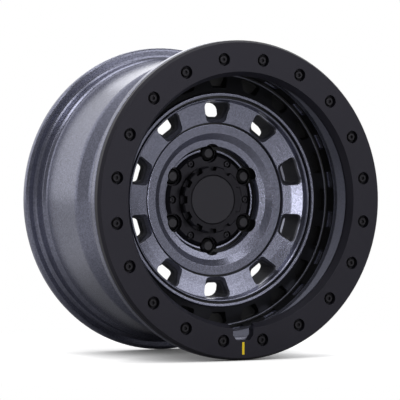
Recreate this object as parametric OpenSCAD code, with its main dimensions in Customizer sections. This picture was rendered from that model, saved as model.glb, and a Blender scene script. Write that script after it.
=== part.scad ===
// Off-road alloy wheel with a bolted bead ring, 17 x 9 inch, six lugs on a 139.7 mm circle.
// The wheel spins about Y. Its outer side faces -Y, and +Z is up.

/* [Rim] */
// Diameter of the bead seats
seat_d = 436.6; // [425:0.1:450]
// Width between the two bead flanges
rim_w = 228.6; // [215:0.1:245]
// Height of a flange above the bead seat
flange_h = 17.3; // [15:0.1:20]
// Thickness of a flange along the axis
flange_t = 15; // [14:0.5:18]
// Depth of the well below the bead seat
well_depth = 17.3; // [16:0.1:19]
// Wall thickness of the barrel
barrel_wall = 6; // [5:0.5:8]
// Width of a bead seat
seat_w = 21; // [19:0.5:24]
// Height of the safety hump above the bead seat
hump_h = 0.9; // [0.5:0.1:1.5]

/* [Bead ring] */
// Thickness of the ring
ring_t = 14; // [12:0.5:18]
// Radial width of the ring
ring_w = 52.3; // [49:0.1:55]
// Width of the chamfer round the opening
ring_lead_w = 6; // [3:0.5:8]
// Depth of that chamfer
ring_lead_depth = 10; // [6:0.5:11]
// Width of the bevel round the outside
ring_bevel_w = 3.3; // [2:0.1:5]
// Depth of that bevel
ring_bevel_depth = 5.8; // [3:0.1:8]
// Number of ring screws
ring_screw_n = 20; // [16:4:24]
// Distance of the screw circle from the flange's outer edge
ring_screw_inset = 26.9; // [25.5:0.1:28]
// Thread diameter of a ring screw
ring_screw_d = 8; // [6:1:9]
// Head diameter of a ring screw
ring_head_d = 12; // [11.5:0.5:13]
// Head height of a ring screw
ring_head_h = 5; // [4:0.5:5.5]
// Length of a ring screw below its head
ring_screw_len = 20; // [17:0.5:22]
// Diameter of the recess round each head
ring_recess_d = 19; // [17:0.5:20]
// Depth of that recess
ring_recess_depth = 8; // [7.5:0.5:9]
// Diameter of a washer
washer_d = 16; // [14:0.5:16.5]
// Thickness of a washer
washer_t = 1; // [0.8:0.1:1.5]
// Width of the notch at the bottom of the ring
notch_w = 34; // [28:1:36]
// Width that the notch gains on each side where it meets the opening
notch_flare = 3.5; // [2:0.5:5]
// Depth of the notch, from the opening outward
notch_depth = 23; // [16:1:24]
// Length of the painted index line
index_len = 18.5; // [12:0.5:19]
// Width of the painted index line
index_w = 4; // [3:0.5:6]

/* [Drum face] */
// Depth of the drum's outer edge behind the flange
drum_edge_z = 53.5; // [50:0.5:56]
// Radial width of the drum's edge, outside the windowed band
drum_edge_w = 12.5; // [12:0.1:13.5]
// Radial width of the windowed band, outside the hub face
window_band_w = 33.7; // [32:0.1:36]
// Depth of the hub face behind the flange
hub_face_z = 75.5; // [74:0.5:77]
// Depth of the band's outer edge behind the flange
band_outer_z = 66; // [64:0.5:68]
// Depth of the band's inner edge behind the flange
band_inner_z = 73; // [71:0.5:75]
// Number of windows
window_n = 10; // [8:1:10]
// Width of a window at its outer side
window_outer_w = 48; // [40:1:50]
// Width of a window at its inner side
window_inner_w = 31; // [28:1:34]
// Radius of a window's corners
window_corner_r = 6.5; // [4:0.5:7]
// Radial width of the slope at a window's inner side
window_slope_w = 5.5; // [4:0.5:7]
// Depth of that slope
window_slope_depth = 7; // [5:0.5:9]
// Radial width of the ledge below the slope
window_ledge_w = 3.2; // [2:0.1:4]
// Thickness of the windowed band at the hub
band_t = 24; // [20:1:28]
// Depth of the drum wall's back behind the drum's edge
drum_wall_depth = 62; // [50:1:64]
// Wall left above the core behind the drum's edge
core_wall = 14; // [12:0.5:18]

/* [Channel] */
// Radial width of the slope inside the lip, up to the screw circle
lip_slope_w = 12.7; // [12:0.1:14]
// Radial width of the black band between the lip and the thin ridge
ridge_inset = 7; // [6:0.1:8]
// Radial width of the channel, from the ridge to the drum
channel_w = 29; // [27:0.5:30]
// Depth of that ridge behind the flange
ridge_z = 69; // [67:0.5:71]
// Number of pockets in the channel
pocket_n = 20; // [16:2:20]
// Depth of the pocket floors behind the flange
pocket_floor_z = 78; // [76:0.5:80]
// Width of a pocket's floor at its outer side
pocket_outer_w = 36; // [30:1:38]
// Width of a pocket's floor at its inner side
pocket_inner_w = 19; // [14:1:22]
// Radius of a pocket's corners
pocket_corner_r = 4; // [2:0.5:5]
// Draft of a pocket's inner wall, from its floor to its mouth
pocket_draft = 4; // [2:0.5:5]
// Width of a slot in the black band outside the ridge
slot_w = 24; // [18:1:30]
// Thickness of the wall behind the channel
channel_wall = 8; // [6:0.5:10]

/* [Hub] */
// Diameter of the centre bore
bore_d = 106.1; // [100:0.1:107]
// Diameter of the lug circle
lug_circle_d = 139.7; // [139:0.1:141]
// Number of lugs
lug_n = 6; // [6:1:6]
// Diameter of a stud hole
stud_hole_d = 16; // [15:0.1:16.5]
// Metal between a nut seat and the hub pad
lug_seat_t = 13; // [11:0.5:16]
// Diameter of a lug pocket
lug_pocket_d = 28.4; // [27:0.2:29]
// Diameter of a lug pocket below its step
lug_bore_d = 24.6; // [23:0.2:26]
// Depth of that step below the hub cover's face
lug_step_depth = 7.5; // [6:0.5:9]
// Distance from the hub pad to the wheel's inner edge
backspace = 114.6; // [110:0.2:118]
// Diameter of the hub pad
pad_d = 184; // [178:1:190]
// Depth of the hollows between the lugs, in the pad
pad_hollow_depth = 22; // [12:0.5:24]
// Diameter of those hollows
pad_hollow_d = 22; // [16:0.5:24]
// Diameter of the valve hole
valve_hole_d = 11.5; // [11:0.1:12]

/* [Hub cover] */
// Diameter of the hub cover
cover_d = 144.4; // [143:0.2:145]
// Thickness of the hub cover
cover_t = 11; // [9:0.5:12]
// Depth of the hub cover's edge bevel
cover_bevel = 6; // [4:0.5:7]
// Diameter of the circle of cover screws
cover_screw_circle_d = 124; // [122:0.5:125]
// Head diameter of a cover screw
cover_head_d = 9; // [8:0.5:10]
// Diameter of the recess round each cover screw
cover_recess_d = 12.3; // [11.5:0.1:13]
// Thread diameter of a cover screw
cover_screw_d = 5; // [4:0.5:6]
// Length of a cover screw below its head
cover_screw_len = 16; // [14:0.5:18]

/* [Cap] */
// Diameter of the cap's flange
cap_d = 100.8; // [98:0.2:102]
// Height of the cap's toothed rim above its flange
cap_rim_h = 9.5; // [8:0.5:12]
// Bevel round the toothed rim
cap_bevel = 2; // [1:0.5:3]
// Thickness of the cap's flange
cap_flange_t = 3.5; // [3:0.5:4.5]
// Number of notches in the toothed rim
cap_notch_n = 12; // [8:2:12]
// Width of a notch at the rim
cap_notch_w = 14; // [11:0.5:15]
// Width of a notch at its inner end
cap_notch_inner_w = 10; // [7:0.5:11]
// Radial depth of a notch
cap_notch_depth = 7; // [5:0.5:8]
// Diameter of the badge disc
disc_d = 73; // [66:1:76]
// Thickness of the badge disc
disc_t = 2.5; // [1.5:0.1:3]
// Width of each half of the groove round the disc
disc_groove_w = 1; // [0.5:0.1:1.5]
// Diameter of the cap's threaded skirt
skirt_d = 88; // [84:0.5:90]
// Wall of the skirt
skirt_wall = 3; // [2.5:0.5:4]
// Thickness of the seal ring
seal_t = 2; // [1.5:0.1:2.4]

/* [Lug nuts] */
// Diameter of a nut
nut_d = 20; // [19:0.5:22]
// Length of a nut
nut_len = 34; // [30:0.5:36]
// Diameter of a nut's flat end
nut_end_d = 13; // [11:0.5:15]
// Thread diameter of a nut
nut_thread_d = 14; // [12:0.5:14.5]

/* [Hidden] */
$fn = 48;
turned_fn = 180;

// Gap between pieces that slide into each other
fit = 0.1;
// Overshoot of a cut beyond a face
eps = 1;
// Room that a tapped hole leaves past the end of its screw
tap_room = 2;
// Lap of two cuts that meet end to end
lap = 0.01;

// Radii that follow from the sizes above
seat_r = seat_d / 2;
flange_r = seat_r + flange_h;
well_r = seat_r - well_depth;
main_r = seat_r - 4;
ring_r = flange_r - 0.3;
ring_hole_r = ring_r - ring_w;
screw_r = flange_r - ring_screw_inset;
lip_mouth_r = screw_r - ring_screw_d / 2 - 2;
lip_belly_r = screw_r - 4.2;
lip_foot_r = screw_r - lip_slope_w;
ridge_r = lip_foot_r - ridge_inset;
drum_r = ridge_r - channel_w;
band_r = drum_r - drum_edge_w;
hub_face_r = band_r - window_band_w;
bore_r = bore_d / 2;
lug_r = lug_circle_d / 2;
cover_r = cover_d / 2;
pad_r = pad_d / 2;

// Depths behind the flange face, which carries the ring
front_seat_z = flange_t;
rear_seat_z = front_seat_z + rim_w;
casting_w = rear_seat_z + flange_t;
overall_w = casting_w + ring_t;
pad_z = casting_w - backspace;
cover_seat_z = hub_face_z + 30;
cover_face_z = cover_seat_z - cover_t;
lug_seat_z = pad_z - lug_seat_t;
lug_step_z = cover_face_z + lug_step_depth;
drum_back_z = drum_edge_z + drum_wall_depth;
lip_foot_z = ridge_z - 16;
cap_seat_z = cover_face_z;
well_start_z = front_seat_z + seat_w + 20;
well_end_z = well_start_z + 34;
main_start_z = well_end_z + 22;
rear_hump_z = rear_seat_z - seat_w;
ring_head_seat_z = ring_recess_depth - ring_t - washer_t;
tap_end_z = ring_head_seat_z + ring_screw_len + tap_room;
cover_head_seat_z = cover_face_z + 4.5;
cap_flange_z = cap_seat_z - cap_flange_t;
cap_face_z = cap_flange_z - cap_rim_h;
cap_back_z = cap_face_z + disc_t + 3;

// Radius of the flat spots round the valve hole
valve_spot_r = 8.5;
// Depth of the slot that holds the painted index line
index_depth = 0.6;

// Points of an arc that rounds corner b between a and c, or b itself where the line runs straight on
function corner_arc(a, b, c, r, n) =
    let (
        u = (a - b) / norm(a - b),
        v = (c - b) / norm(c - b),
        bisector = u + v
    )
    norm(bisector) < 0.001 ? [b] :
    let (
        half = acos(u * v) / 2,
        reach = min(r / tan(half), 0.48 * norm(a - b), 0.48 * norm(c - b)),
        arc_r = reach * tan(half),
        middle = b + bisector / norm(bisector) * arc_r / sin(half),
        from = b + u * reach - middle,
        to = b + v * reach - middle,
        start = atan2(from.y, from.x),
        sweep = (atan2(to.y, to.x) - start + 540) % 360 - 180
    )
    [for (i = [0:n]) middle + arc_r * [cos(start + sweep * i / n), sin(start + sweep * i / n)]];

// An outline from points [x, y, corner radius]
function rounded(points, n = 3) =
    let (count = len(points))
    [
        for (i = [0:count - 1])
        let (
            a = points[(i + count - 1) % count],
            b = points[i],
            c = points[(i + 1) % count]
        )
        each b[2] == 0 ? [[b.x, b.y]] : corner_arc([a.x, a.y], [b.x, b.y], [c.x, c.y], b[2], n)
    ];

// A symmetric trapezoid whose centre line is the X axis
function trapezoid(x0, x1, w0, w1, r) =
    rounded([[x0, -w0 / 2, r], [x1, -w1 / 2, r], [x1, w1 / 2, r], [x0, w0 / 2, r]]);

// Turns the axis from Z to Y, with the middle of the width at the origin
module upright() {
    rotate([-90, 0, 0])
    translate([0, 0, ring_t - overall_w / 2])
    children();
}

// Puts children at an angle, clockwise from the top as seen from outside
module at_clock(angle) {
    rotate([0, 0, angle - 90])
    children();
}

module turned(outline) {
    rotate_extrude($fn = turned_fn)
    polygon(outline);
}

module tube_cut(r, z0, z1) {
    translate([0, 0, z0])
    cylinder(r = r, h = z1 - z0);
}

// A solid between two outlines with the same number of points
module loft(low, high, z0, z1) {
    n = len(low);
    polyhedron(
        points = concat(
            [for (p = low) [p.x, p.y, z0]],
            [for (p = high) [p.x, p.y, z1]]
        ),
        faces = concat(
            [[for (i = [0:n - 1]) i]],
            [[for (i = [n - 1:-1:0]) n + i]],
            [for (i = [0:n - 1]) [i, n + i, (i + 1) % n]],
            [for (i = [0:n - 1]) [(i + 1) % n, n + i, n + (i + 1) % n]]
        )
    );
}

// Rim and barrel, from the front flange over the outside to the inner edge
function barrel_outside() = [
    [lip_mouth_r, 0, 1.5],
    [flange_r, 0, 2],
    [flange_r, front_seat_z, 5],
    [seat_r, front_seat_z, 6],
    [seat_r - hump_h, front_seat_z + seat_w - 2, 0],
    [seat_r + hump_h, front_seat_z + seat_w, 1],
    [seat_r + hump_h, front_seat_z + seat_w + 3, 3],
    [well_r, well_start_z, 10],
    [well_r, well_end_z, 10],
    [main_r, main_start_z, 14],
    [main_r, rear_hump_z - 8, 6],
    [seat_r + hump_h, rear_hump_z - 4, 1.5],
    [seat_r + hump_h, rear_hump_z - 1.5, 1],
    [seat_r - hump_h, rear_hump_z + 1, 0],
    [seat_r, rear_seat_z, 6],
    [flange_r, rear_seat_z, 5],
    [flange_r, casting_w, 6]
];

// Inside of the barrel and the back of the face, to the hub pad
function casting_back() = [
    [seat_r - 2, casting_w, 5],
    [seat_r - barrel_wall - 2, casting_w - 12, 8],
    [main_r - barrel_wall, rear_hump_z - 8, 10],
    [main_r - barrel_wall - 1, main_start_z + 4, 12],
    [well_r - barrel_wall, well_end_z + 2, 8],
    [ridge_r + 2, pocket_floor_z + channel_wall + 4, 6],
    [drum_r + 4, pocket_floor_z + channel_wall, 4],
    [drum_r + 2, drum_edge_z + core_wall, 4],
    [band_r + 7, drum_edge_z + core_wall + 1, 3],
    [band_r + 4.5, drum_back_z, 2],
    [band_r - 0.5, drum_back_z, 2],
    [band_r - 19.5, band_inner_z + band_t - 4, 8],
    [hub_face_r + 8, band_inner_z + band_t, 10],
    [pad_r + 7, cover_seat_z + 3, 8],
    [pad_r + 1, pad_z - 14, 6],
    [pad_r, pad_z, 3],
    [bore_r, pad_z, 1],
    [bore_r, cover_seat_z, 1]
];

// Hub recess, hub face and the windowed band, outward to the drum's edge
function face_front() =
let (hub_w = hub_face_r - cover_r)
[
    [cover_r + 0.3, cover_seat_z, 0],
    [cover_r + 0.3, cover_face_z + 2.5, 1],
    [cover_r + 3.6, cover_face_z + 2, 1],
    [cover_r + 4.2, cover_face_z + 8, 0],
    [cover_r + 7.6, cover_face_z + 8, 0],
    [cover_r + 8.2, hub_face_z + 9, 1],
    [cover_r + 0.44 * hub_w, hub_face_z + 7.5, 1],
    [cover_r + 0.67 * hub_w, hub_face_z + 0.5, 1],
    [hub_face_r - 0.6, hub_face_z, 1],
    [hub_face_r, hub_face_z + 3, 0],
    [hub_face_r + 1.4, hub_face_z + 3, 0],
    [hub_face_r + 2.2, band_inner_z, 1],
    [(hub_face_r + band_r) / 2, (band_inner_z + band_outer_z) / 2 + 1.2, 30],
    [band_r, band_outer_z, 1],
    [band_r + 1.5, drum_edge_z + 4, 3],
    [band_r + 4.3, drum_edge_z + 1.5, 2],
    [drum_r - 7, drum_edge_z + 8, 0],
    [drum_r - 4.9, drum_edge_z + 8, 0],
    [drum_r - 4.4, drum_edge_z + 0.5, 0.6],
    [drum_r - 0.6, drum_edge_z, 0.8]
];

// Black channel, thin ridge and the outer lip, outward to the flange
function channel_front() = [
    [drum_r + 1, drum_edge_z + 6, 1.5],
    [ridge_r - 1.6, ridge_z + 1.2, 0],
    [ridge_r - 0.8, ridge_z, 0.3],
    [ridge_r + 0.4, ridge_z, 0.3],
    [ridge_r + 1.4, ridge_z + 2.5, 0],
    [ridge_r + 3, ridge_z + 1.5, 0],
    [lip_foot_r - 0.8, lip_foot_z + 1.5, 0],
    [lip_foot_r, lip_foot_z, 0.5],
    [lip_belly_r, lip_foot_z / 2 + 2, 24],
    [lip_mouth_r, tap_end_z + 1, 6]
];

// A window: a slope and a ledge on its inner side, then a straight throat
module window_cut() {
    x0 = hub_face_r + 2.2;
    x1 = band_r - 1;
    slope_x = x0 + window_slope_w;
    mouth = trapezoid(x0, x1, window_inner_w, window_outer_w, window_corner_r);
    slope = trapezoid(
        slope_x, x1,
        window_inner_w - window_slope_w, window_outer_w - 1,
        window_corner_r
    );
    throat = trapezoid(
        slope_x + window_ledge_w, x1,
        window_inner_w - window_slope_w - 1.2 * window_ledge_w, window_outer_w - 2,
        window_corner_r
    );
    ledge_z = band_inner_z + window_slope_depth;
    throat_z = ledge_z + window_ledge_w / 2;
    translate([0, 0, drum_edge_z])
    linear_extrude(height = band_inner_z - drum_edge_z + lap)
    polygon(mouth);
    loft(mouth, slope, band_inner_z, ledge_z);
    loft(slope, throat, ledge_z - lap, throat_z);
    translate([0, 0, throat_z - lap])
    linear_extrude(height = drum_wall_depth)
    polygon(throat);
}

// A pocket in the channel, with drafted walls
module pocket_cut() {
    x1 = ridge_r - 2.6;
    x0 = drum_r + 11;
    mouth_z = drum_edge_z + 6;
    mouth = trapezoid(
        x0 - pocket_draft, x1, pocket_inner_w + 3, pocket_outer_w + 3, pocket_corner_r
    );
    loft(
        mouth,
        trapezoid(x0, x1, pocket_inner_w, pocket_outer_w, pocket_corner_r),
        mouth_z, pocket_floor_z
    );
    translate([0, 0, drum_edge_z])
    linear_extrude(height = mouth_z - drum_edge_z + lap)
    polygon(mouth);
}

// A shallow slot in the black band between the ridge and the lip
module slot_cut() {
    translate([ridge_r + 3, -slot_w / 2, lip_foot_z + 4])
    cube([ridge_inset - 3, slot_w, ridge_z - lip_foot_z - 4]);
}

// Pocket, conical seat and stud hole for one lug
module lug_cut() {
    cone_h = (nut_d - stud_hole_d) / 2 / tan(30);
    translate([lug_r, 0, 0]) {
        tube_cut(lug_pocket_d / 2, hub_face_z - 2, lug_step_z);
        tube_cut(lug_bore_d / 2, lug_step_z - lap, lug_seat_z - cone_h);
        translate([0, 0, lug_seat_z - cone_h])
        cylinder(r1 = nut_d / 2 + fit, r2 = stud_hole_d / 2, h = cone_h);
        tube_cut(stud_hole_d / 2, lug_seat_z - lap, pad_z + eps);
    }
}

// Valve hole with a flat spot on both sides of the wall
module valve_cut() {
    tilt = 25;
    translate([lip_foot_r + 4.5, 0, lip_foot_z - 11])
    rotate([0, 90 - tilt, 0]) {
        tube_cut(valve_hole_d / 2, -12, 30);
        tube_cut(valve_spot_r, -12, 0.6);
        tube_cut(valve_spot_r, 9, 26);
    }
}

module cover_screw_hole() {
    tube_cut(
        cover_screw_d / 2 + fit / 2,
        cover_seat_z - eps,
        cover_head_seat_z + cover_screw_len + tap_room
    );
}

module wheel_casting() {
    color("slategray")
    upright()
    difference() {
        turned(rounded(concat(barrel_outside(), casting_back(), face_front(), channel_front())));
        for (k = [0:window_n - 1])
            at_clock(k * 360 / window_n)
            window_cut();
        for (k = [0:pocket_n - 1])
            at_clock(k * 360 / pocket_n) {
                pocket_cut();
                rotate([0, 0, 180 / pocket_n])
                slot_cut();
            }
        for (k = [0:lug_n - 1])
            at_clock(k * 360 / lug_n)
            lug_cut();
        for (k = [0:lug_n - 1])
            at_clock((k + 0.5) * 360 / lug_n) {
                translate([cover_screw_circle_d / 2, 0, 0])
                cover_screw_hole();
                translate([lug_r, 0, 0])
                tube_cut(pad_hollow_d / 2, pad_z - pad_hollow_depth, pad_z + eps);
            }
        for (k = [0:ring_screw_n - 1])
            at_clock((k + 0.5) * 360 / ring_screw_n)
            translate([screw_r, 0, 0])
            tube_cut(ring_screw_d / 2 + fit / 2, -eps, tap_end_z);
        at_clock(270)
        valve_cut();
    }
}

// Outline of the notch, from the ring's opening outward
function notch_outline() = [
    [ring_hole_r - 4, -notch_w / 2 - notch_flare],
    [ring_hole_r + 2, -notch_w / 2 - notch_flare],
    [ring_hole_r + notch_depth * 0.28, -notch_w / 2],
    [ring_hole_r + notch_depth * 0.65, -notch_w / 2],
    [ring_hole_r + notch_depth, -notch_w / 2 + 6],
    [ring_hole_r + notch_depth, notch_w / 2 - 6],
    [ring_hole_r + notch_depth * 0.65, notch_w / 2],
    [ring_hole_r + notch_depth * 0.28, notch_w / 2],
    [ring_hole_r + 2, notch_w / 2 + notch_flare],
    [ring_hole_r - 4, notch_w / 2 + notch_flare]
];

module beadlock_ring() {
    color([0.17, 0.17, 0.18])
    upright()
    difference() {
        turned(rounded([
            [ring_hole_r, 0, 0],
            [ring_hole_r, ring_lead_depth - ring_t, 0.5],
            [ring_hole_r + ring_lead_w, -ring_t, 0.5],
            [ring_r - ring_bevel_w, -ring_t, 0.5],
            [ring_r, ring_bevel_depth - ring_t, 0.5],
            [ring_r, 0, 0]
        ]));
        for (k = [0:ring_screw_n - 1])
            at_clock((k + 0.5) * 360 / ring_screw_n)
            translate([screw_r, 0, 0]) {
                tube_cut(ring_recess_d / 2, -ring_t - eps, ring_recess_depth - ring_t);
                tube_cut(ring_screw_d / 2 + 0.4, -ring_t, eps);
            }
        at_clock(180) {
            translate([0, 0, -ring_t - eps])
            linear_extrude(height = ring_t + 2 * eps)
            polygon(notch_outline());
            index_bar(0);
        }
    }
}

// The painted line, or the slot that it fills
module index_bar(gap) {
    x0 = ring_hole_r + notch_depth + 2.5;
    translate([x0 + gap, -index_w / 2 + gap, -ring_t - (gap == 0 ? eps : 0)])
    cube([index_len - 2 * gap, index_w - 2 * gap, index_depth + (gap == 0 ? eps : 0)]);
}

module index_mark() {
    color("gold")
    upright()
    at_clock(180)
    index_bar(0.05);
}

// One screw with its head toward -Z and its underside at z = 0
module socket_screw(head_d, head_h, shank_d, shank_len, socket_d) {
    difference() {
        union() {
            translate([0, 0, -head_h])
            cylinder(r1 = head_d / 2 - 1, r2 = head_d / 2, h = 1);
            translate([0, 0, 1 - head_h])
            cylinder(d = head_d, h = head_h - 1);
            cylinder(d = shank_d, h = shank_len);
        }
        translate([0, 0, -head_h - eps])
        cylinder(d = socket_d, h = head_h * 0.6 + eps, $fn = 6);
    }
}

module ring_bolts() {
    color([0.1, 0.1, 0.11])
    upright()
    for (k = [0:ring_screw_n - 1])
        at_clock((k + 0.5) * 360 / ring_screw_n)
        translate([screw_r, 0, ring_head_seat_z])
        socket_screw(ring_head_d, ring_head_h, ring_screw_d, ring_screw_len, ring_head_d / 2);
}

module ring_washers() {
    color([0.14, 0.14, 0.15])
    upright()
    for (k = [0:ring_screw_n - 1])
        at_clock((k + 0.5) * 360 / ring_screw_n)
        translate([screw_r, 0, ring_head_seat_z])
        difference() {
            cylinder(d = washer_d, h = washer_t);
            tube_cut(ring_screw_d / 2 + 0.3, -eps, washer_t + eps);
        }
}

module hub_cover() {
    color([0.07, 0.07, 0.08])
    upright()
    difference() {
        turned([
            [skirt_d / 2 + 0.3, cover_seat_z],
            [skirt_d / 2 + 0.3, cover_face_z],
            [cover_r - cover_bevel, cover_face_z],
            [cover_r, cover_face_z + cover_bevel],
            [cover_r, cover_seat_z]
        ]);
        for (k = [0:lug_n - 1])
            at_clock(k * 360 / lug_n)
            translate([lug_r, 0, 0])
            union() {
                tube_cut(lug_pocket_d / 2, cover_face_z - eps, lug_step_z);
                tube_cut(lug_bore_d / 2, lug_step_z - lap, cover_seat_z + eps);
            }
        for (k = [0:lug_n - 1])
            at_clock((k + 0.5) * 360 / lug_n)
            translate([cover_screw_circle_d / 2, 0, 0]) {
                tube_cut(cover_recess_d / 2, cover_face_z - eps, cover_head_seat_z);
                tube_cut(cover_screw_d / 2 + 0.3, cover_face_z, cover_seat_z + eps);
            }
    }
}

module cover_screws() {
    color([0.12, 0.12, 0.13])
    upright()
    for (k = [0:lug_n - 1])
        at_clock((k + 0.5) * 360 / lug_n)
        translate([cover_screw_circle_d / 2, 0, cover_head_seat_z])
        socket_screw(cover_head_d, 3.5, cover_screw_d, cover_screw_len, cover_head_d / 2);
}

// Outline of a notch in the cap's rim, open outward
function cap_notch() =
    let (x0 = cap_d / 2 - cap_notch_depth, x1 = cap_d / 2 + eps)
    [
        [x0, -cap_notch_inner_w / 2],
        [x1, -cap_notch_w / 2],
        [x1, cap_notch_w / 2],
        [x0, cap_notch_inner_w / 2]
    ];

// Cup with a toothed rim in front, a flange and a skirt that goes through the hub cover
module center_cap() {
    skirt_r = skirt_d / 2;
    color([0.2, 0.2, 0.21])
    upright()
    difference() {
        turned([
            [0, cap_back_z],
            [0, cap_face_z + disc_t],
            [disc_d / 2 + fit, cap_face_z + disc_t],
            [disc_d / 2 + fit, cap_face_z + disc_groove_w],
            [disc_d / 2 + fit + disc_groove_w, cap_face_z],
            [cap_d / 2 - cap_bevel, cap_face_z],
            [cap_d / 2, cap_face_z + cap_bevel],
            [cap_d / 2, cap_seat_z],
            [skirt_r, cap_seat_z],
            [skirt_r, cover_seat_z],
            [skirt_r - skirt_wall, cover_seat_z],
            [skirt_r - skirt_wall, cap_back_z]
        ]);
        for (k = [0:cap_notch_n - 1])
            at_clock(k * 360 / cap_notch_n)
            translate([0, 0, cap_face_z - eps])
            linear_extrude(height = cap_rim_h + eps)
            polygon(cap_notch());
        translate([0, 0, cap_seat_z - seal_t])
        rotate_extrude($fn = turned_fn)
        translate([skirt_r + 2, 0])
        square([seal_t + 2 * fit, seal_t + eps]);
    }
}

module cap_disc() {
    color([0.23, 0.23, 0.24])
    upright()
    turned([
        [0, cap_face_z],
        [disc_d / 2 - disc_groove_w, cap_face_z],
        [disc_d / 2, cap_face_z + disc_groove_w],
        [disc_d / 2, cap_face_z + disc_t],
        [0, cap_face_z + disc_t]
    ]);
}

module cap_seal() {
    color([0.05, 0.05, 0.05])
    upright()
    translate([0, 0, cap_seat_z - seal_t / 2])
    rotate_extrude($fn = turned_fn)
    translate([skirt_d / 2 + 2 + fit + seal_t / 2, 0])
    circle(d = seal_t);
}

module lug_nuts() {
    cone_h = (nut_d - stud_hole_d) / 2 / tan(30);
    tip_z = lug_seat_z - 0.4;
    color([0.2, 0.2, 0.21])
    upright()
    for (k = [0:lug_n - 1])
        at_clock(k * 360 / lug_n)
        translate([lug_r, 0, 0])
        difference() {
            turned_nut(tip_z, cone_h);
            tube_cut(nut_thread_d / 2, tip_z - 24, tip_z + eps);
        }
}

// Body of one nut, from its flat end back to the tip of its cone
module turned_nut(tip_z, cone_h) {
    end_z = tip_z - nut_len;
    rotate_extrude()
    polygon([
        [0, end_z],
        [nut_end_d / 2, end_z],
        [nut_d / 2, end_z + 4],
        [nut_d / 2, tip_z - cone_h],
        [stud_hole_d / 2, tip_z],
        [0, tip_z]
    ]);
}

wheel_casting();
beadlock_ring();
ring_bolts();
ring_washers();
index_mark();
hub_cover();
cover_screws();
center_cap();
cap_disc();
cap_seal();
lug_nuts();
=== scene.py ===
import math

import bpy
from mathutils import Euler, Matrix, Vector


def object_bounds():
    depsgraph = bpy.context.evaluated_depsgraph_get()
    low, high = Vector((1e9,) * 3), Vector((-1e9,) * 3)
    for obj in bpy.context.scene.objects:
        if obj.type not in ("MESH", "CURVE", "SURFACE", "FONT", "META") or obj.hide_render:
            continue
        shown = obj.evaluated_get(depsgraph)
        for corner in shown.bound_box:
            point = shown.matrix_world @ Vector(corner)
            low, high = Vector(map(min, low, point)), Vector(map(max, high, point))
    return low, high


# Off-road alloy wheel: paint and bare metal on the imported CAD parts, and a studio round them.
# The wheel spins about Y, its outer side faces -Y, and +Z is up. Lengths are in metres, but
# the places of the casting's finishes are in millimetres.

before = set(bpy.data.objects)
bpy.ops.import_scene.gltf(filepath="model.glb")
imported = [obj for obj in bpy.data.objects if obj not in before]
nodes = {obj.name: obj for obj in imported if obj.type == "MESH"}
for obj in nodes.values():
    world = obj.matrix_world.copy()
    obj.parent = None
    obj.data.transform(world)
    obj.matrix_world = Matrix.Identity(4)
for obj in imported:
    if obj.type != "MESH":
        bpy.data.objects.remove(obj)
cad_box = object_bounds()

# Places of the casting's finishes, as radii about the spin axis and depths behind the front
# flange. Two radii or depths that are named START, END or EDGE bound a soft change of finish.

# Plane of the front flange, in metres
FLANGE_Y = -0.1223
MM_PER_M = 1000.0
# Half the width of the edge of a ring of paint
PAINT_EDGE = 0.1
# Black channel between the drum and the lip
CHANNEL_RADII = (159.8, 195.2)
CHANNEL_END = (79.0, 79.6)
# Crest of the thin ridge in the channel, which keeps the lip's paint and its painted light
CREST_RADII = (187.7, 190.3)
CREST_END = (70.6, 70.9)
# Lip inside the bead ring, lighter in colour as painted light where light falls on it
LIP_RADII = (194.9, 214.0)
LIP_END = (47.0, 50.0)
# Radii and depths of the black recess round the hub cover, the groove in that recess's rim,
# the groove round the hub face and the groove in the drum's edge; the grooves' black is painted shade
BLACK_RECESS_AND_SHADED_GROOVES = [
    ((53.6, 72.6), (96.0, 106.5)),
    ((75.9, 79.9), (97.5, 106.0)),
    ((113.7, 115.4), (76.0, 80.0)),
    ((152.7, 155.3), (56.0, 63.0)),
]
# Black lug pockets: how many, the radius they stand on, and their own radius and depths
LUG_COUNT = 6
LUG_CIRCLE_RADIUS = 69.85
POCKET_EDGE = (14.3, 14.6)
POCKET_DEPTHS = (84.0, 143.4)
# Windows: how many, how far out they reach, how their half width grows outward, and what it
# would be at the spin axis
WINDOW_COUNT = 10
WINDOW_REACH = (115.9, 164.0)
WINDOW_FLARE = 0.279
WINDOW_SIDE_EDGE = (-16.6, -16.2)
# Sloping face between the windows: its depth at the spin axis, and how much of it each
# millimetre of radius takes off
FACE_DEPTH_AT_AXIS = 99.7
FACE_SLOPE = 0.2222
# Depths below that face where a window's wall starts to get painted shade, and where its throat
# begins, and the wall's share of the throat's painted shade
WALL_START = (0.6, 1.6)
THROAT_START = (5.0, 7.5)
WALL_SHADE_SHARE = 0.55
# Bare, turned hub pad and bore at the back
PAD_START = (143.6, 143.7)
PAD_EDGE = (92.6, 92.8)
BORE_EDGE = (53.4, 53.5)

# Paints of the casting, with painted light and painted shade among them
FLAKE_DARK = (0.18, 0.186, 0.247, 1)
FLAKE_LIGHT = (0.285, 0.293, 0.39, 1)
# Painted light for the lip and the ridge's crest
LIP_PAINTED_LIGHT = (0.40, 0.41, 0.50, 1)
# Painted shade for the windows' throats and walls
WINDOW_PAINTED_SHADE = (0.006, 0.006, 0.008, 1)
# Black paint for the channel, black for the pockets and recess, and painted shade for the grooves
CHANNEL_PAINT_AND_GROOVE_SHADE = (0.008, 0.008, 0.009, 1)
TURNED_METAL = (0.52, 0.52, 0.53, 1)
# How far the paint leans to the lip's painted light and the windows' painted shade there
LIP_LIGHT_SHARE = 0.5
WINDOW_SHADE_SHARE = 0.9
# How metallic the paint is on the face and on the lip
FACE_METAL = 0.8
LIP_METAL = 0.25
# What black paint, the grooves' painted shade and the windows' walls add to the roughness,
# and what turning takes off it
BLACK_ROUGHER = 0.08
WINDOW_ROUGHER = 0.6
TURNED_SMOOTHER = 0.12
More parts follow.
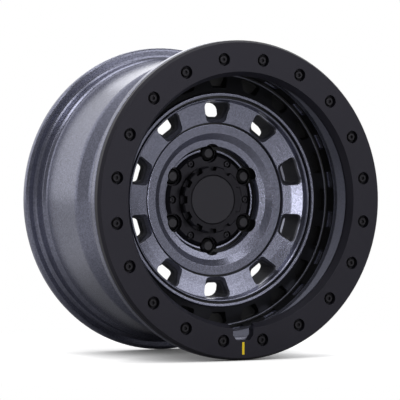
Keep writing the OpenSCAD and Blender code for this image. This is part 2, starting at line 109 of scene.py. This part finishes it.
# Clear coat over the gunmetal paint
COAT_WEIGHT = 0.25
COAT_ROUGHNESS = 0.22
# Relief of the casting's surface, and the shares of it that flakes and orange peel have
CASTING_RELIEF = 0.000018
FLAKE_SHARE = 0.25
PEEL_SHARE = 0.5
# Radians of the cutter's wave in a millimetre of radius, which puts a mark every 0.7 mm
CUTTER_WAVE = 9.0

# Tint of the gloss on black pieces, and the roughness of their coat
BLACK_GLOSS = (0.86, 0.83, 1.0, 1)
BLACK_COAT_ROUGHNESS = 0.2
# Index line's paint
INDEX_DARK = (0.86, 0.60, 0.003, 1)
INDEX_LIGHT = (0.98, 0.72, 0.008, 1)
INDEX_RELIEF = 0.0001

WHITE = (1, 1, 1, 1)

# Lowest point of the wheel, the gap between it and the floor, and the floor's size and middle
FLOOR_Z = cad_box[0].z
FLOOR_GAP = 0.0004
FLOOR_SIZE = 30.0
FLOOR_MIDDLE_Y = 6.0
# The floor's tone where it lights the wheel and where it is seen
FLOOR_TONE_LIT = (0.35, 0.35, 0.35, 1)
FLOOR_TONE_SEEN = (0.80, 0.80, 0.80, 1)
# How bright the floor shows by itself to the camera, and how bright far floor shows in metal
FLOOR_GLOW = 0.76
FLOOR_SHEEN = 0.52
# How far from the wheel the shadow reaches, and how high its contact shade looks for the wheel
SHADOW_REACH = 0.32
SHADE_HEIGHT = 0.08
# Brightness of the studio in front of the wheel, and of the room's soft fill
FRONT_ROOM = 0.18
ROOM_FILL = 0.42
# How far back a ray has to point to leave the front room, and to be wholly in the white sweep
SWEEP_START = (-0.05, 0.35)
LAMP_DISTANCE = 4.0
# Soft boxes: name, degrees to the right of the wheel's front, degrees up, size, brightness
LAMPS = [
    ("key_box", 33, 23, 2.2, 1.6),
    ("front_box", 3, 0, 0.7, 9.0),
    ("left_high_box", -48, 50, 1.2, 4.0),
    ("top_box", 0, 70, 1.9, 2.4),
    ("back_box", 160, 26, 1.9, 0.9),
]

# The photograph's viewpoint, fitted to the wheel's circles: its place, its turn in degrees, and
# the lens and sensor in millimetres
CAMERA_PLACE = (-1.71337, -3.25787, 0.03398)
CAMERA_TURN = (89.4569, -0.1198, -27.7282)
LENS_LENGTH = 218.05
SENSOR_WIDTH = 36.0
CLIP_START = 0.1
CLIP_END = 60.0


# Node helpers

NUMBER, VECTOR = "NodeSocketFloat", "NodeSocketVector"
# Middle value of a noise texture
NOISE_MIDDLE = 0.5
# Sockets of a Mix node set to colours: its share, its two colours and its result
MIX_SHARE, MIX_FIRST, MIX_SECOND, MIX_RESULT = 0, 6, 7, 2


def plug(tree, value, socket):
    """Links a socket to another one, or sets it to a plain value."""
    if isinstance(value, bpy.types.NodeSocket):
        tree.links.new(value, socket)
    else:
        socket.default_value = value


def add(tree, kind, inputs=None, **settings):
    """A node with its settings, and its sockets set or linked by name or number."""
    made = tree.nodes.new(kind)
    for name, value in settings.items():
        setattr(made, name, value)
    for name, value in (inputs or {}).items():
        plug(tree, value, made.inputs[name])
    return made


def calc(tree, operation, first, *others, clamp=False):
    """Arithmetic on numbers or sockets, a step for each further one, from left to right."""
    result = first
    # A sine or a root takes one number alone, and its node leaves the second socket unread
    for other in others or (0.0,):
        made = add(
            tree, "ShaderNodeMath", inputs={0: result, 1: other}, operation=operation, use_clamp=clamp
        )
        result = made.outputs[0]
    return result


def ramp(tree, value, low, high, to_low=0.0, to_high=1.0):
    """Eases from one number to another while value goes from low to high."""
    made = add(tree, "ShaderNodeMapRange", interpolation_type="SMOOTHSTEP", inputs={
        "Value": value, "From Min": low, "From Max": high, "To Min": to_low, "To Max": to_high,
    })
    return made.outputs["Result"]


def fade(tree, value, low, high):
    """1 up to low, easing to 0 at high."""
    return ramp(tree, value, low, high, 1.0, 0.0)


def between(tree, value, low, high):
    """1 where a radius or depth lies between two others, 0 elsewhere."""
    above = ramp(tree, value, low - PAINT_EDGE, low + PAINT_EDGE)
    below = fade(tree, value, high - PAINT_EDGE, high + PAINT_EDGE)
    return calc(tree, "MULTIPLY", above, below)


def opposite(tree, mask):
    """1 where a mask is 0, and 0 where it is 1."""
    return calc(tree, "SUBTRACT", 1.0, mask)


def blend_colour(tree, share, first, second):
    """Two colours mixed by a mask."""
    made = add(tree, "ShaderNodeMix", data_type="RGBA", inputs={
        MIX_SHARE: share, MIX_FIRST: first, MIX_SECOND: second,
    })
    return made.outputs[MIX_RESULT]


def new_group(name, inputs, outputs):
    """An empty shader group with named sockets: (tree, input sockets, output sockets)."""
    tree = bpy.data.node_groups.new(name, "ShaderNodeTree")
    for direction, sockets in (("INPUT", inputs), ("OUTPUT", outputs)):
        for label, kind in sockets.items():
            tree.interface.new_socket(label, in_out=direction, socket_type=kind)
    entry = tree.nodes.new("NodeGroupInput")
    leave = tree.nodes.new("NodeGroupOutput")
    return tree, entry.outputs, leave.inputs


def use_group(tree, group, inputs):
    """The outputs of a shader group placed in a material."""
    return add(tree, "ShaderNodeGroup", node_tree=group, inputs=inputs).outputs


# Shader groups

def make_place_group():
    """Radius about the spin axis and depth behind the front flange in millimetres, and the turn."""
    tree, given, result = new_group(
        "wheel_place",
        {"Position": VECTOR},
        {"Radius": NUMBER, "Depth": NUMBER, "Turn": NUMBER},
    )
    parts = add(tree, "ShaderNodeSeparateXYZ", inputs={0: given["Position"]}).outputs
    flat = add(tree, "ShaderNodeCombineXYZ", inputs={"X": parts["X"], "Z": parts["Z"]}).outputs[0]
    length = add(tree, "ShaderNodeVectorMath", operation="LENGTH", inputs={0: flat}).outputs["Value"]
    depth = calc(tree, "SUBTRACT", parts["Y"], FLANGE_Y)
    plug(tree, calc(tree, "MULTIPLY", length, MM_PER_M), result["Radius"])
    plug(tree, calc(tree, "MULTIPLY", depth, MM_PER_M), result["Depth"])
    plug(tree, calc(tree, "ARCTAN2", parts["X"], parts["Z"]), result["Turn"])
    return tree


def make_flake_group():
    """Metal flakes in paint: a tone for each flake, and the height that tips it."""
    tree, given, result = new_group(
        "paint_flakes",
        {"Position": VECTOR, "Flakes per metre": NUMBER, "Cloud": NUMBER},
        {"Tone": NUMBER, "Height": NUMBER},
    )
    cells = add(tree, "ShaderNodeTexVoronoi", inputs={
        "Vector": given["Position"], "Scale": given["Flakes per metre"], "Randomness": 1.0,
    })
    flake = add(tree, "ShaderNodeSeparateColor", inputs={"Color": cells.outputs["Color"]})
    cloud = add(tree, "ShaderNodeTexNoise", inputs={
        "Vector": given["Position"], "Scale": 34.0, "Detail": 3.0, "Roughness": 0.6,
    })
    spread = calc(tree, "SUBTRACT", cloud.outputs["Fac"], NOISE_MIDDLE)
    spread = calc(tree, "MULTIPLY", spread, given["Cloud"])
    plug(tree, calc(tree, "ADD", flake.outputs["Red"], spread, clamp=True), result["Tone"])
    plug(tree, flake.outputs["Green"], result["Height"])
    return tree


def make_peel_group():
    """Fine uneven skin of sprayed or powder paint: its height, roughness and tone."""
    tree, given, result = new_group(
        "paint_peel",
        {"Position": VECTOR, "Size per metre": NUMBER, "Dull": NUMBER, "Roughness": NUMBER},
        {"Height": NUMBER, "Roughness": NUMBER, "Tone": NUMBER},
    )
    skin = add(tree, "ShaderNodeTexNoise", inputs={
        "Vector": given["Position"], "Scale": given["Size per metre"], "Detail": 2.0,
        "Roughness": 0.55,
    }).outputs["Fac"]
    haze = add(tree, "ShaderNodeTexNoise", inputs={
        "Vector": given["Position"], "Scale": 18.0, "Detail": 4.0, "Roughness": 0.62,
    }).outputs["Fac"]
    # The haze swings from -1 to 1 round its middle
    swing = calc(tree, "MULTIPLY", calc(tree, "SUBTRACT", haze, NOISE_MIDDLE), 2.0, given["Dull"])
    plug(tree, skin, result["Height"])
    plug(tree, calc(tree, "ADD", given["Roughness"], swing, clamp=True), result["Roughness"])
    plug(tree, haze, result["Tone"])
    return tree


def from_nearest(tree, radius, turn, count):
    """Distances along and aside from the nearest of several evenly spaced lines out from the axis."""
    nearest = calc(tree, "PINGPONG", turn, math.pi / count)
    out = calc(tree, "MULTIPLY", radius, calc(tree, "COSINE", nearest))
    aside = calc(tree, "MULTIPLY", radius, calc(tree, "SINE", nearest))
    return out, aside


def lug_pockets(tree, radius, depth, turn):
    """1 inside the lug pockets, found by the distance from the nearest lug's axis."""
    out, aside = from_nearest(tree, radius, turn, LUG_COUNT)
    out = calc(tree, "SUBTRACT", out, LUG_CIRCLE_RADIUS)
    squares = [calc(tree, "MULTIPLY", side, side) for side in (out, aside)]
    distance = calc(tree, "SQRT", calc(tree, "ADD", *squares))
    inside = fade(tree, distance, *POCKET_EDGE)
    return calc(tree, "MULTIPLY", inside, between(tree, depth, *POCKET_DEPTHS))


def window_wall_shade(tree, radius, depth, turn):
    """Painted shade on the windows' walls below the sloping face between them, darkest in the
    throats.
    """
    out, aside = from_nearest(tree, radius, turn, WINDOW_COUNT)
    side = calc(tree, "SUBTRACT", aside, calc(tree, "MULTIPLY", out, WINDOW_FLARE))
    inside = calc(
        tree, "MULTIPLY", between(tree, out, *WINDOW_REACH), fade(tree, side, *WINDOW_SIDE_EDGE)
    )
    face = calc(tree, "SUBTRACT", FACE_DEPTH_AT_AXIS, calc(tree, "MULTIPLY", radius, FACE_SLOPE))
    below = calc(tree, "SUBTRACT", depth, face)
    wall = ramp(tree, below, *WALL_START)
    throat = ramp(tree, below, *THROAT_START, WALL_SHADE_SHARE, 1.0)
    return calc(tree, "MULTIPLY", inside, wall, throat)


def make_zone_group():
    """Where the casting is black, where bare, where a window's wall has painted shade, and where the
    lip has painted light.
    """
    tree, given, result = new_group(
        "casting_zones",
        {"Radius": NUMBER, "Depth": NUMBER, "Turn": NUMBER},
        {"Black": NUMBER, "Bare": NUMBER, "Window": NUMBER, "Lip": NUMBER},
    )
    radius, depth, turn = given["Radius"], given["Depth"], given["Turn"]
    crest = calc(
        tree, "MULTIPLY", between(tree, radius, *CREST_RADII), fade(tree, depth, *CREST_END)
    )
    # The channel is black from the drum to the foot of the lip, but for the ridge's crest
    channel = calc(
        tree, "MULTIPLY", between(tree, radius, *CHANNEL_RADII), fade(tree, depth, *CHANNEL_END),
        opposite(tree, crest),
    )
    rings = [
        calc(tree, "MULTIPLY", between(tree, radius, *radii), between(tree, depth, *depths))
        for radii, depths in BLACK_RECESS_AND_SHADED_GROOVES
    ]
    pockets = lug_pockets(tree, radius, depth, turn)
    lip = calc(tree, "MULTIPLY", between(tree, radius, *LIP_RADII), fade(tree, depth, *LIP_END))
    pad = calc(tree, "MULTIPLY", ramp(tree, depth, *PAD_START), fade(tree, radius, *PAD_EDGE))
    bore = fade(tree, radius, *BORE_EDGE)
    plug(tree, calc(tree, "MAXIMUM", channel, pockets, *rings), result["Black"])
    plug(tree, calc(tree, "MAXIMUM", pad, bore), result["Bare"])
    plug(tree, window_wall_shade(tree, radius, depth, turn), result["Window"])
    plug(tree, calc(tree, "MAXIMUM", lip, crest), result["Lip"])
    return tree


place_group = make_place_group()
flake_group = make_flake_group()
peel_group = make_peel_group()
zone_group = make_zone_group()


# Materials

def blank(name):
    """A new material: (material, its tree, its shader's sockets, Object coordinates)."""
    made = bpy.data.materials.new(name)
    made.use_nodes = True
    tree = made.node_tree
    tree.nodes.clear()
    shader = tree.nodes.new("ShaderNodeBsdfPrincipled")
    leave = tree.nodes.new("ShaderNodeOutputMaterial")
    plug(tree, shader.outputs[0], leave.inputs["Surface"])
    where = tree.nodes.new("ShaderNodeTexCoord").outputs["Object"]
    return made, tree, shader.inputs, where


def bump(tree, shader, height, distance):
    """Relief in the surface, from a height that goes from 0 to 1 over a distance in metres."""
    made = add(tree, "ShaderNodeBump", inputs={
        "Height": height, "Distance": distance, "Strength": 1.0,
    })
    plug(tree, made.outputs[0], shader["Normal"])


def casting_colour(tree, zones, flakes):
    """Gunmetal flakes, lip's painted light, windows' painted shade, black channel and pockets,
    grooves' painted shade, bare metal.
    """
    lip = calc(tree, "MULTIPLY", zones["Lip"], LIP_LIGHT_SHARE)
    window = calc(tree, "MULTIPLY", zones["Window"], WINDOW_SHADE_SHARE)
    colour = blend_colour(tree, flakes["Tone"], FLAKE_DARK, FLAKE_LIGHT)
    colour = blend_colour(tree, lip, colour, LIP_PAINTED_LIGHT)
    colour = blend_colour(tree, window, colour, WINDOW_PAINTED_SHADE)
    colour = blend_colour(tree, zones["Black"], colour, CHANNEL_PAINT_AND_GROOVE_SHADE)
    return blend_colour(tree, zones["Bare"], colour, TURNED_METAL)


def casting_metal(tree, zones):
    """How metallic the casting is: not in the black zones or the windows' painted shade, and less on
    the lip, which is more matt.
    """
    bright = opposite(tree, calc(tree, "MAXIMUM", zones["Black"], zones["Window"]))
    return calc(tree, "MULTIPLY", bright, ramp(tree, zones["Lip"], 0.0, 1.0, FACE_METAL, LIP_METAL))


def casting_roughness(tree, zones, peel):
    """How rough the casting is: the windows' walls are dull, and show little of the white behind."""
    black = calc(tree, "MULTIPLY", zones["Black"], BLACK_ROUGHER)
    window = calc(tree, "MULTIPLY", zones["Window"], WINDOW_ROUGHER)
    turned = calc(tree, "MULTIPLY", zones["Bare"], TURNED_SMOOTHER)
    rough = calc(tree, "ADD", peel["Roughness"], black, window)
    return calc(tree, "SUBTRACT", rough, turned, clamp=True)


def casting_height(tree, place, zones, flakes, peel, gunmetal):
    """Flakes and orange peel in the paint, and the cutter's marks round the axis on bare metal."""
    marks = calc(tree, "SINE", calc(tree, "MULTIPLY", place["Radius"], CUTTER_WAVE))
    marks = calc(tree, "MULTIPLY", marks, zones["Bare"])
    grain = calc(tree, "MULTIPLY", flakes["Height"], gunmetal, FLAKE_SHARE)
    skin = calc(tree, "MULTIPLY", peel["Height"], PEEL_SHARE)
    return calc(tree, "ADD", grain, skin, marks)


def gunmetal_casting():
    """Gunmetal paint, black channel and pockets, bare hub pad, lip's painted light, and painted shade
    in windows and grooves.
    """
    made, tree, shader, where = blank("gunmetal_paint")
    place = use_group(tree, place_group, {"Position": where})
    zones = use_group(tree, zone_group, {
        "Radius": place["Radius"], "Depth": place["Depth"], "Turn": place["Turn"],
    })
    flakes = use_group(tree, flake_group, {
        "Position": where, "Flakes per metre": 620.0, "Cloud": 0.08,
    })
    peel = use_group(tree, peel_group, {
        "Position": where, "Size per metre": 420.0, "Dull": 0.015, "Roughness": 0.25,
    })
    elsewhere = calc(tree, "MAXIMUM", zones["Bare"], zones["Black"], zones["Window"])
    gunmetal = opposite(tree, elsewhere)
    plug(tree, casting_colour(tree, zones, flakes), shader["Base Color"])
    plug(tree, casting_metal(tree, zones), shader["Metallic"])
    plug(tree, casting_roughness(tree, zones, peel), shader["Roughness"])
    plug(tree, calc(tree, "MULTIPLY", gunmetal, COAT_WEIGHT), shader["Coat Weight"])
    plug(tree, COAT_ROUGHNESS, shader["Coat Roughness"])
    height = casting_height(tree, place, zones, flakes, peel, gunmetal)
    bump(tree, shader, height, CASTING_RELIEF)
    return made


def black_finish(name, dark, light, roughness, skin, relief, sheen=0.5, coat=0.0, metallic=0.0):
    """Black paint, oxide or rubber with a fine skin, slightly uneven in tone and gloss."""
    made, tree, shader, where = blank(name)
    peel = use_group(tree, peel_group, {
        "Position": where, "Size per metre": skin, "Dull": 0.06, "Roughness": roughness,
    })
    plug(tree, blend_colour(tree, peel["Tone"], dark, light), shader["Base Color"])
    plug(tree, peel["Roughness"], shader["Roughness"])
    plug(tree, metallic, shader["Metallic"])
    plug(tree, sheen, shader["Specular IOR Level"])
    plug(tree, BLACK_GLOSS, shader["Specular Tint"])
    plug(tree, coat, shader["Coat Weight"])
    plug(tree, BLACK_COAT_ROUGHNESS, shader["Coat Roughness"])
    bump(tree, shader, peel["Height"], relief)
    return made


def index_paint():
    """Brushed-in yellow line paint, slightly uneven in tone and gloss."""
    made, tree, shader, where = blank("index_yellow_paint")
    peel = use_group(tree, peel_group, {
        "Position": where, "Size per metre": 900.0, "Dull": 0.1, "Roughness": 0.5,
    })
    plug(tree, blend_colour(tree, peel["Tone"], INDEX_DARK, INDEX_LIGHT), shader["Base Color"])
    plug(tree, peel["Roughness"], shader["Roughness"])
    bump(tree, shader, peel["Height"], INDEX_RELIEF)
    return made


FINISHES = {
    "wheel_casting": gunmetal_casting(),
    "beadlock_ring": black_finish(
        "ring_satin_black", dark=(0.007, 0.0068, 0.010, 1), light=(0.011, 0.0107, 0.016, 1),
        roughness=0.42, skin=1100.0, relief=0.00005, sheen=0.46,
    ),
    "ring_bolts": black_finish(
        "screw_black_oxide", dark=(0.010, 0.010, 0.011, 1), light=(0.022, 0.021, 0.021, 1),
        roughness=0.38, skin=1500.0, relief=0.00003, sheen=0.35,
    ),
    "ring_washers": black_finish(
        "washer_black_oxide", dark=(0.009, 0.009, 0.010, 1), light=(0.018, 0.018, 0.018, 1),
        roughness=0.46, skin=1500.0, relief=0.00003, sheen=0.2,
    ),
    "index_mark": index_paint(),
    "hub_cover": black_finish(
        "cover_satin_black", dark=(0.003, 0.003, 0.0035, 1), light=(0.005, 0.005, 0.006, 1),
        roughness=0.42, skin=900.0, relief=0.00004, sheen=0.40,
    ),
    "cover_screws": black_finish(
        "cover_screw_black", dark=(0.008, 0.008, 0.009, 1), light=(0.016, 0.016, 0.016, 1),
        roughness=0.36, skin=1500.0, relief=0.00003,
    ),
    "center_cap": black_finish(
        "cap_moulded_black", dark=(0.003, 0.003, 0.0035, 1), light=(0.005, 0.005, 0.006, 1),
        roughness=0.42, skin=1000.0, relief=0.00004, sheen=0.35,
    ),
    "cap_disc": black_finish(
        "disc_satin_black", dark=(0.012, 0.012, 0.013, 1), light=(0.016, 0.016, 0.017, 1),
        roughness=0.45, skin=1300.0, relief=0.00003,
    ),
    "cap_seal": black_finish(
        "seal_rubber", dark=(0.012, 0.012, 0.012, 1), light=(0.020, 0.020, 0.020, 1),
        roughness=0.68, skin=2400.0, relief=0.00004,
    ),
    "lug_nuts": black_finish(
        "nut_black_chrome", dark=(0.020, 0.020, 0.022, 1), light=(0.034, 0.034, 0.036, 1),
        roughness=0.34, skin=1500.0, relief=0.00002, coat=0.3, metallic=0.3,
    ),
}

for name, material in FINISHES.items():
    for slot in nodes[name].material_slots:
        slot.material = material


# Studio

def white_light(tree, strength):
    """White that shines by itself, where a strength of 1 shows as white."""
    return add(tree, "ShaderNodeEmission", inputs={"Color": WHITE, "Strength": strength}).outputs[0]


def floor_white():
    """White that keeps the wheel's shadow, and runs into the white sweep away from the wheel."""
    made = bpy.data.materials.new("studio_white")
    made.use_nodes = True
    tree = made.node_tree
    tree.nodes.clear()
    leave = tree.nodes.new("ShaderNodeOutputMaterial")
    path = tree.nodes.new("ShaderNodeLightPath").outputs
    seen = calc(tree, "MAXIMUM", path["Is Camera Ray"], path["Is Transmission Ray"])
    glossy = path["Is Glossy Ray"]
    # The floor returns less light to the wheel than it shows to the camera
    tone = blend_colour(tree, seen, FLOOR_TONE_LIT, FLOOR_TONE_SEEN)
    matt = add(tree, "ShaderNodeBsdfDiffuse", inputs={"Color": tone}).outputs[0]
    # Contact shade gathers where the wheel stands over the floor
    shade = add(tree, "ShaderNodeAmbientOcclusion", inputs={"Distance": SHADE_HEIGHT}).outputs["AO"]
    glow = white_light(tree, calc(tree, "MULTIPLY", seen, shade, FLOOR_GLOW))
    near = add(tree, "ShaderNodeAddShader", inputs={0: matt, 1: glow}).outputs[0]
    # Away from the wheel the floor is the sweep's white, with no line at the horizon
    where = tree.nodes.new("ShaderNodeTexCoord").outputs["Object"]
    away = add(tree, "ShaderNodeVectorMath", operation="LENGTH", inputs={0: where}).outputs["Value"]
    far = ramp(tree, away, SHADOW_REACH, 2 * SHADOW_REACH)
    far = calc(tree, "MULTIPLY", far, calc(tree, "MAXIMUM", seen, glossy))
    sheen = calc(tree, "MAXIMUM", seen, calc(tree, "MULTIPLY", glossy, FLOOR_SHEEN))
    sweep = white_light(tree, sheen)
    both = add(tree, "ShaderNodeMixShader", inputs={0: far, 1: near, 2: sweep}).outputs[0]
    plug(tree, both, leave.inputs["Surface"])
    return made


def lay_floor():
    """Wide white floor just below the wheel."""
    bpy.ops.object.select_all(action="DESELECT")
    bpy.ops.mesh.primitive_plane_add(
        size=FLOOR_SIZE, location=(0, FLOOR_MIDDLE_Y, FLOOR_Z - FLOOR_GAP)
    )
    floor = bpy.context.object
    floor.name = "studio_floor"
    bpy.ops.object.transform_apply(location=True)
    floor.data.materials.append(floor_white())


def white_room():
    """White sweep behind the wheel, dimmer studio in front of it, and soft fill all round."""
    world = bpy.data.worlds.new("studio_world")
    bpy.context.scene.world = world
    world.use_nodes = True
    tree = world.node_tree
    tree.nodes.clear()
    leave = tree.nodes.new("ShaderNodeOutputWorld")
    path = tree.nodes.new("ShaderNodeLightPath").outputs
    ray = tree.nodes.new("ShaderNodeTexCoord").outputs["Generated"]
    back = add(tree, "ShaderNodeSeparateXYZ", inputs={0: ray}).outputs["Y"]
    room = ramp(tree, back, *SWEEP_START, FRONT_ROOM, 1.0)
    seen = calc(tree, "MULTIPLY", opposite(tree, path["Is Diffuse Ray"]), room)
    fill = calc(tree, "MULTIPLY", path["Is Diffuse Ray"], ROOM_FILL)
    # The camera sees plain white all round
    level = calc(tree, "MAXIMUM", calc(tree, "ADD", seen, fill), path["Is Camera Ray"])
    light = add(tree, "ShaderNodeBackground", inputs={"Color": WHITE, "Strength": level})
    plug(tree, light.outputs[0], leave.inputs["Surface"])


def soft_box(name, azimuth, elevation, size, brightness):
    """A square studio lamp aimed at the wheel; a brightness of 1 is that of the white room."""
    lamp = bpy.data.lights.new(name, "AREA")
    lamp.size = size
    lamp.energy = brightness * math.pi * size ** 2
    turn, rise = math.radians(azimuth), math.radians(elevation)
    away = Vector((math.sin(turn) * math.cos(rise), -math.cos(turn) * math.cos(rise), math.sin(rise)))
    held = bpy.data.objects.new(name, lamp)
    held.location = away * LAMP_DISTANCE
    held.rotation_euler = (-away).to_track_quat("-Z", "Y").to_euler()
    held.visible_camera = False
    bpy.context.scene.collection.objects.link(held)


def photo_camera():
    """A camera at the photograph's viewpoint."""
    lens = bpy.data.cameras.new("photo_camera")
    lens.sensor_width = SENSOR_WIDTH
    lens.lens = LENS_LENGTH
    lens.clip_start = CLIP_START
    lens.clip_end = CLIP_END
    held = bpy.data.objects.new("photo_camera", lens)
    held.location = CAMERA_PLACE
    held.rotation_euler = Euler([math.radians(turn) for turn in CAMERA_TURN])
    bpy.context.scene.collection.objects.link(held)
    bpy.context.scene.camera = held


lay_floor()
white_room()
for name, azimuth, elevation, size, brightness in LAMPS:
    soft_box(name, azimuth, elevation, size, brightness)
photo_camera()

scene = bpy.context.scene
scene.view_settings.view_transform = "Standard"
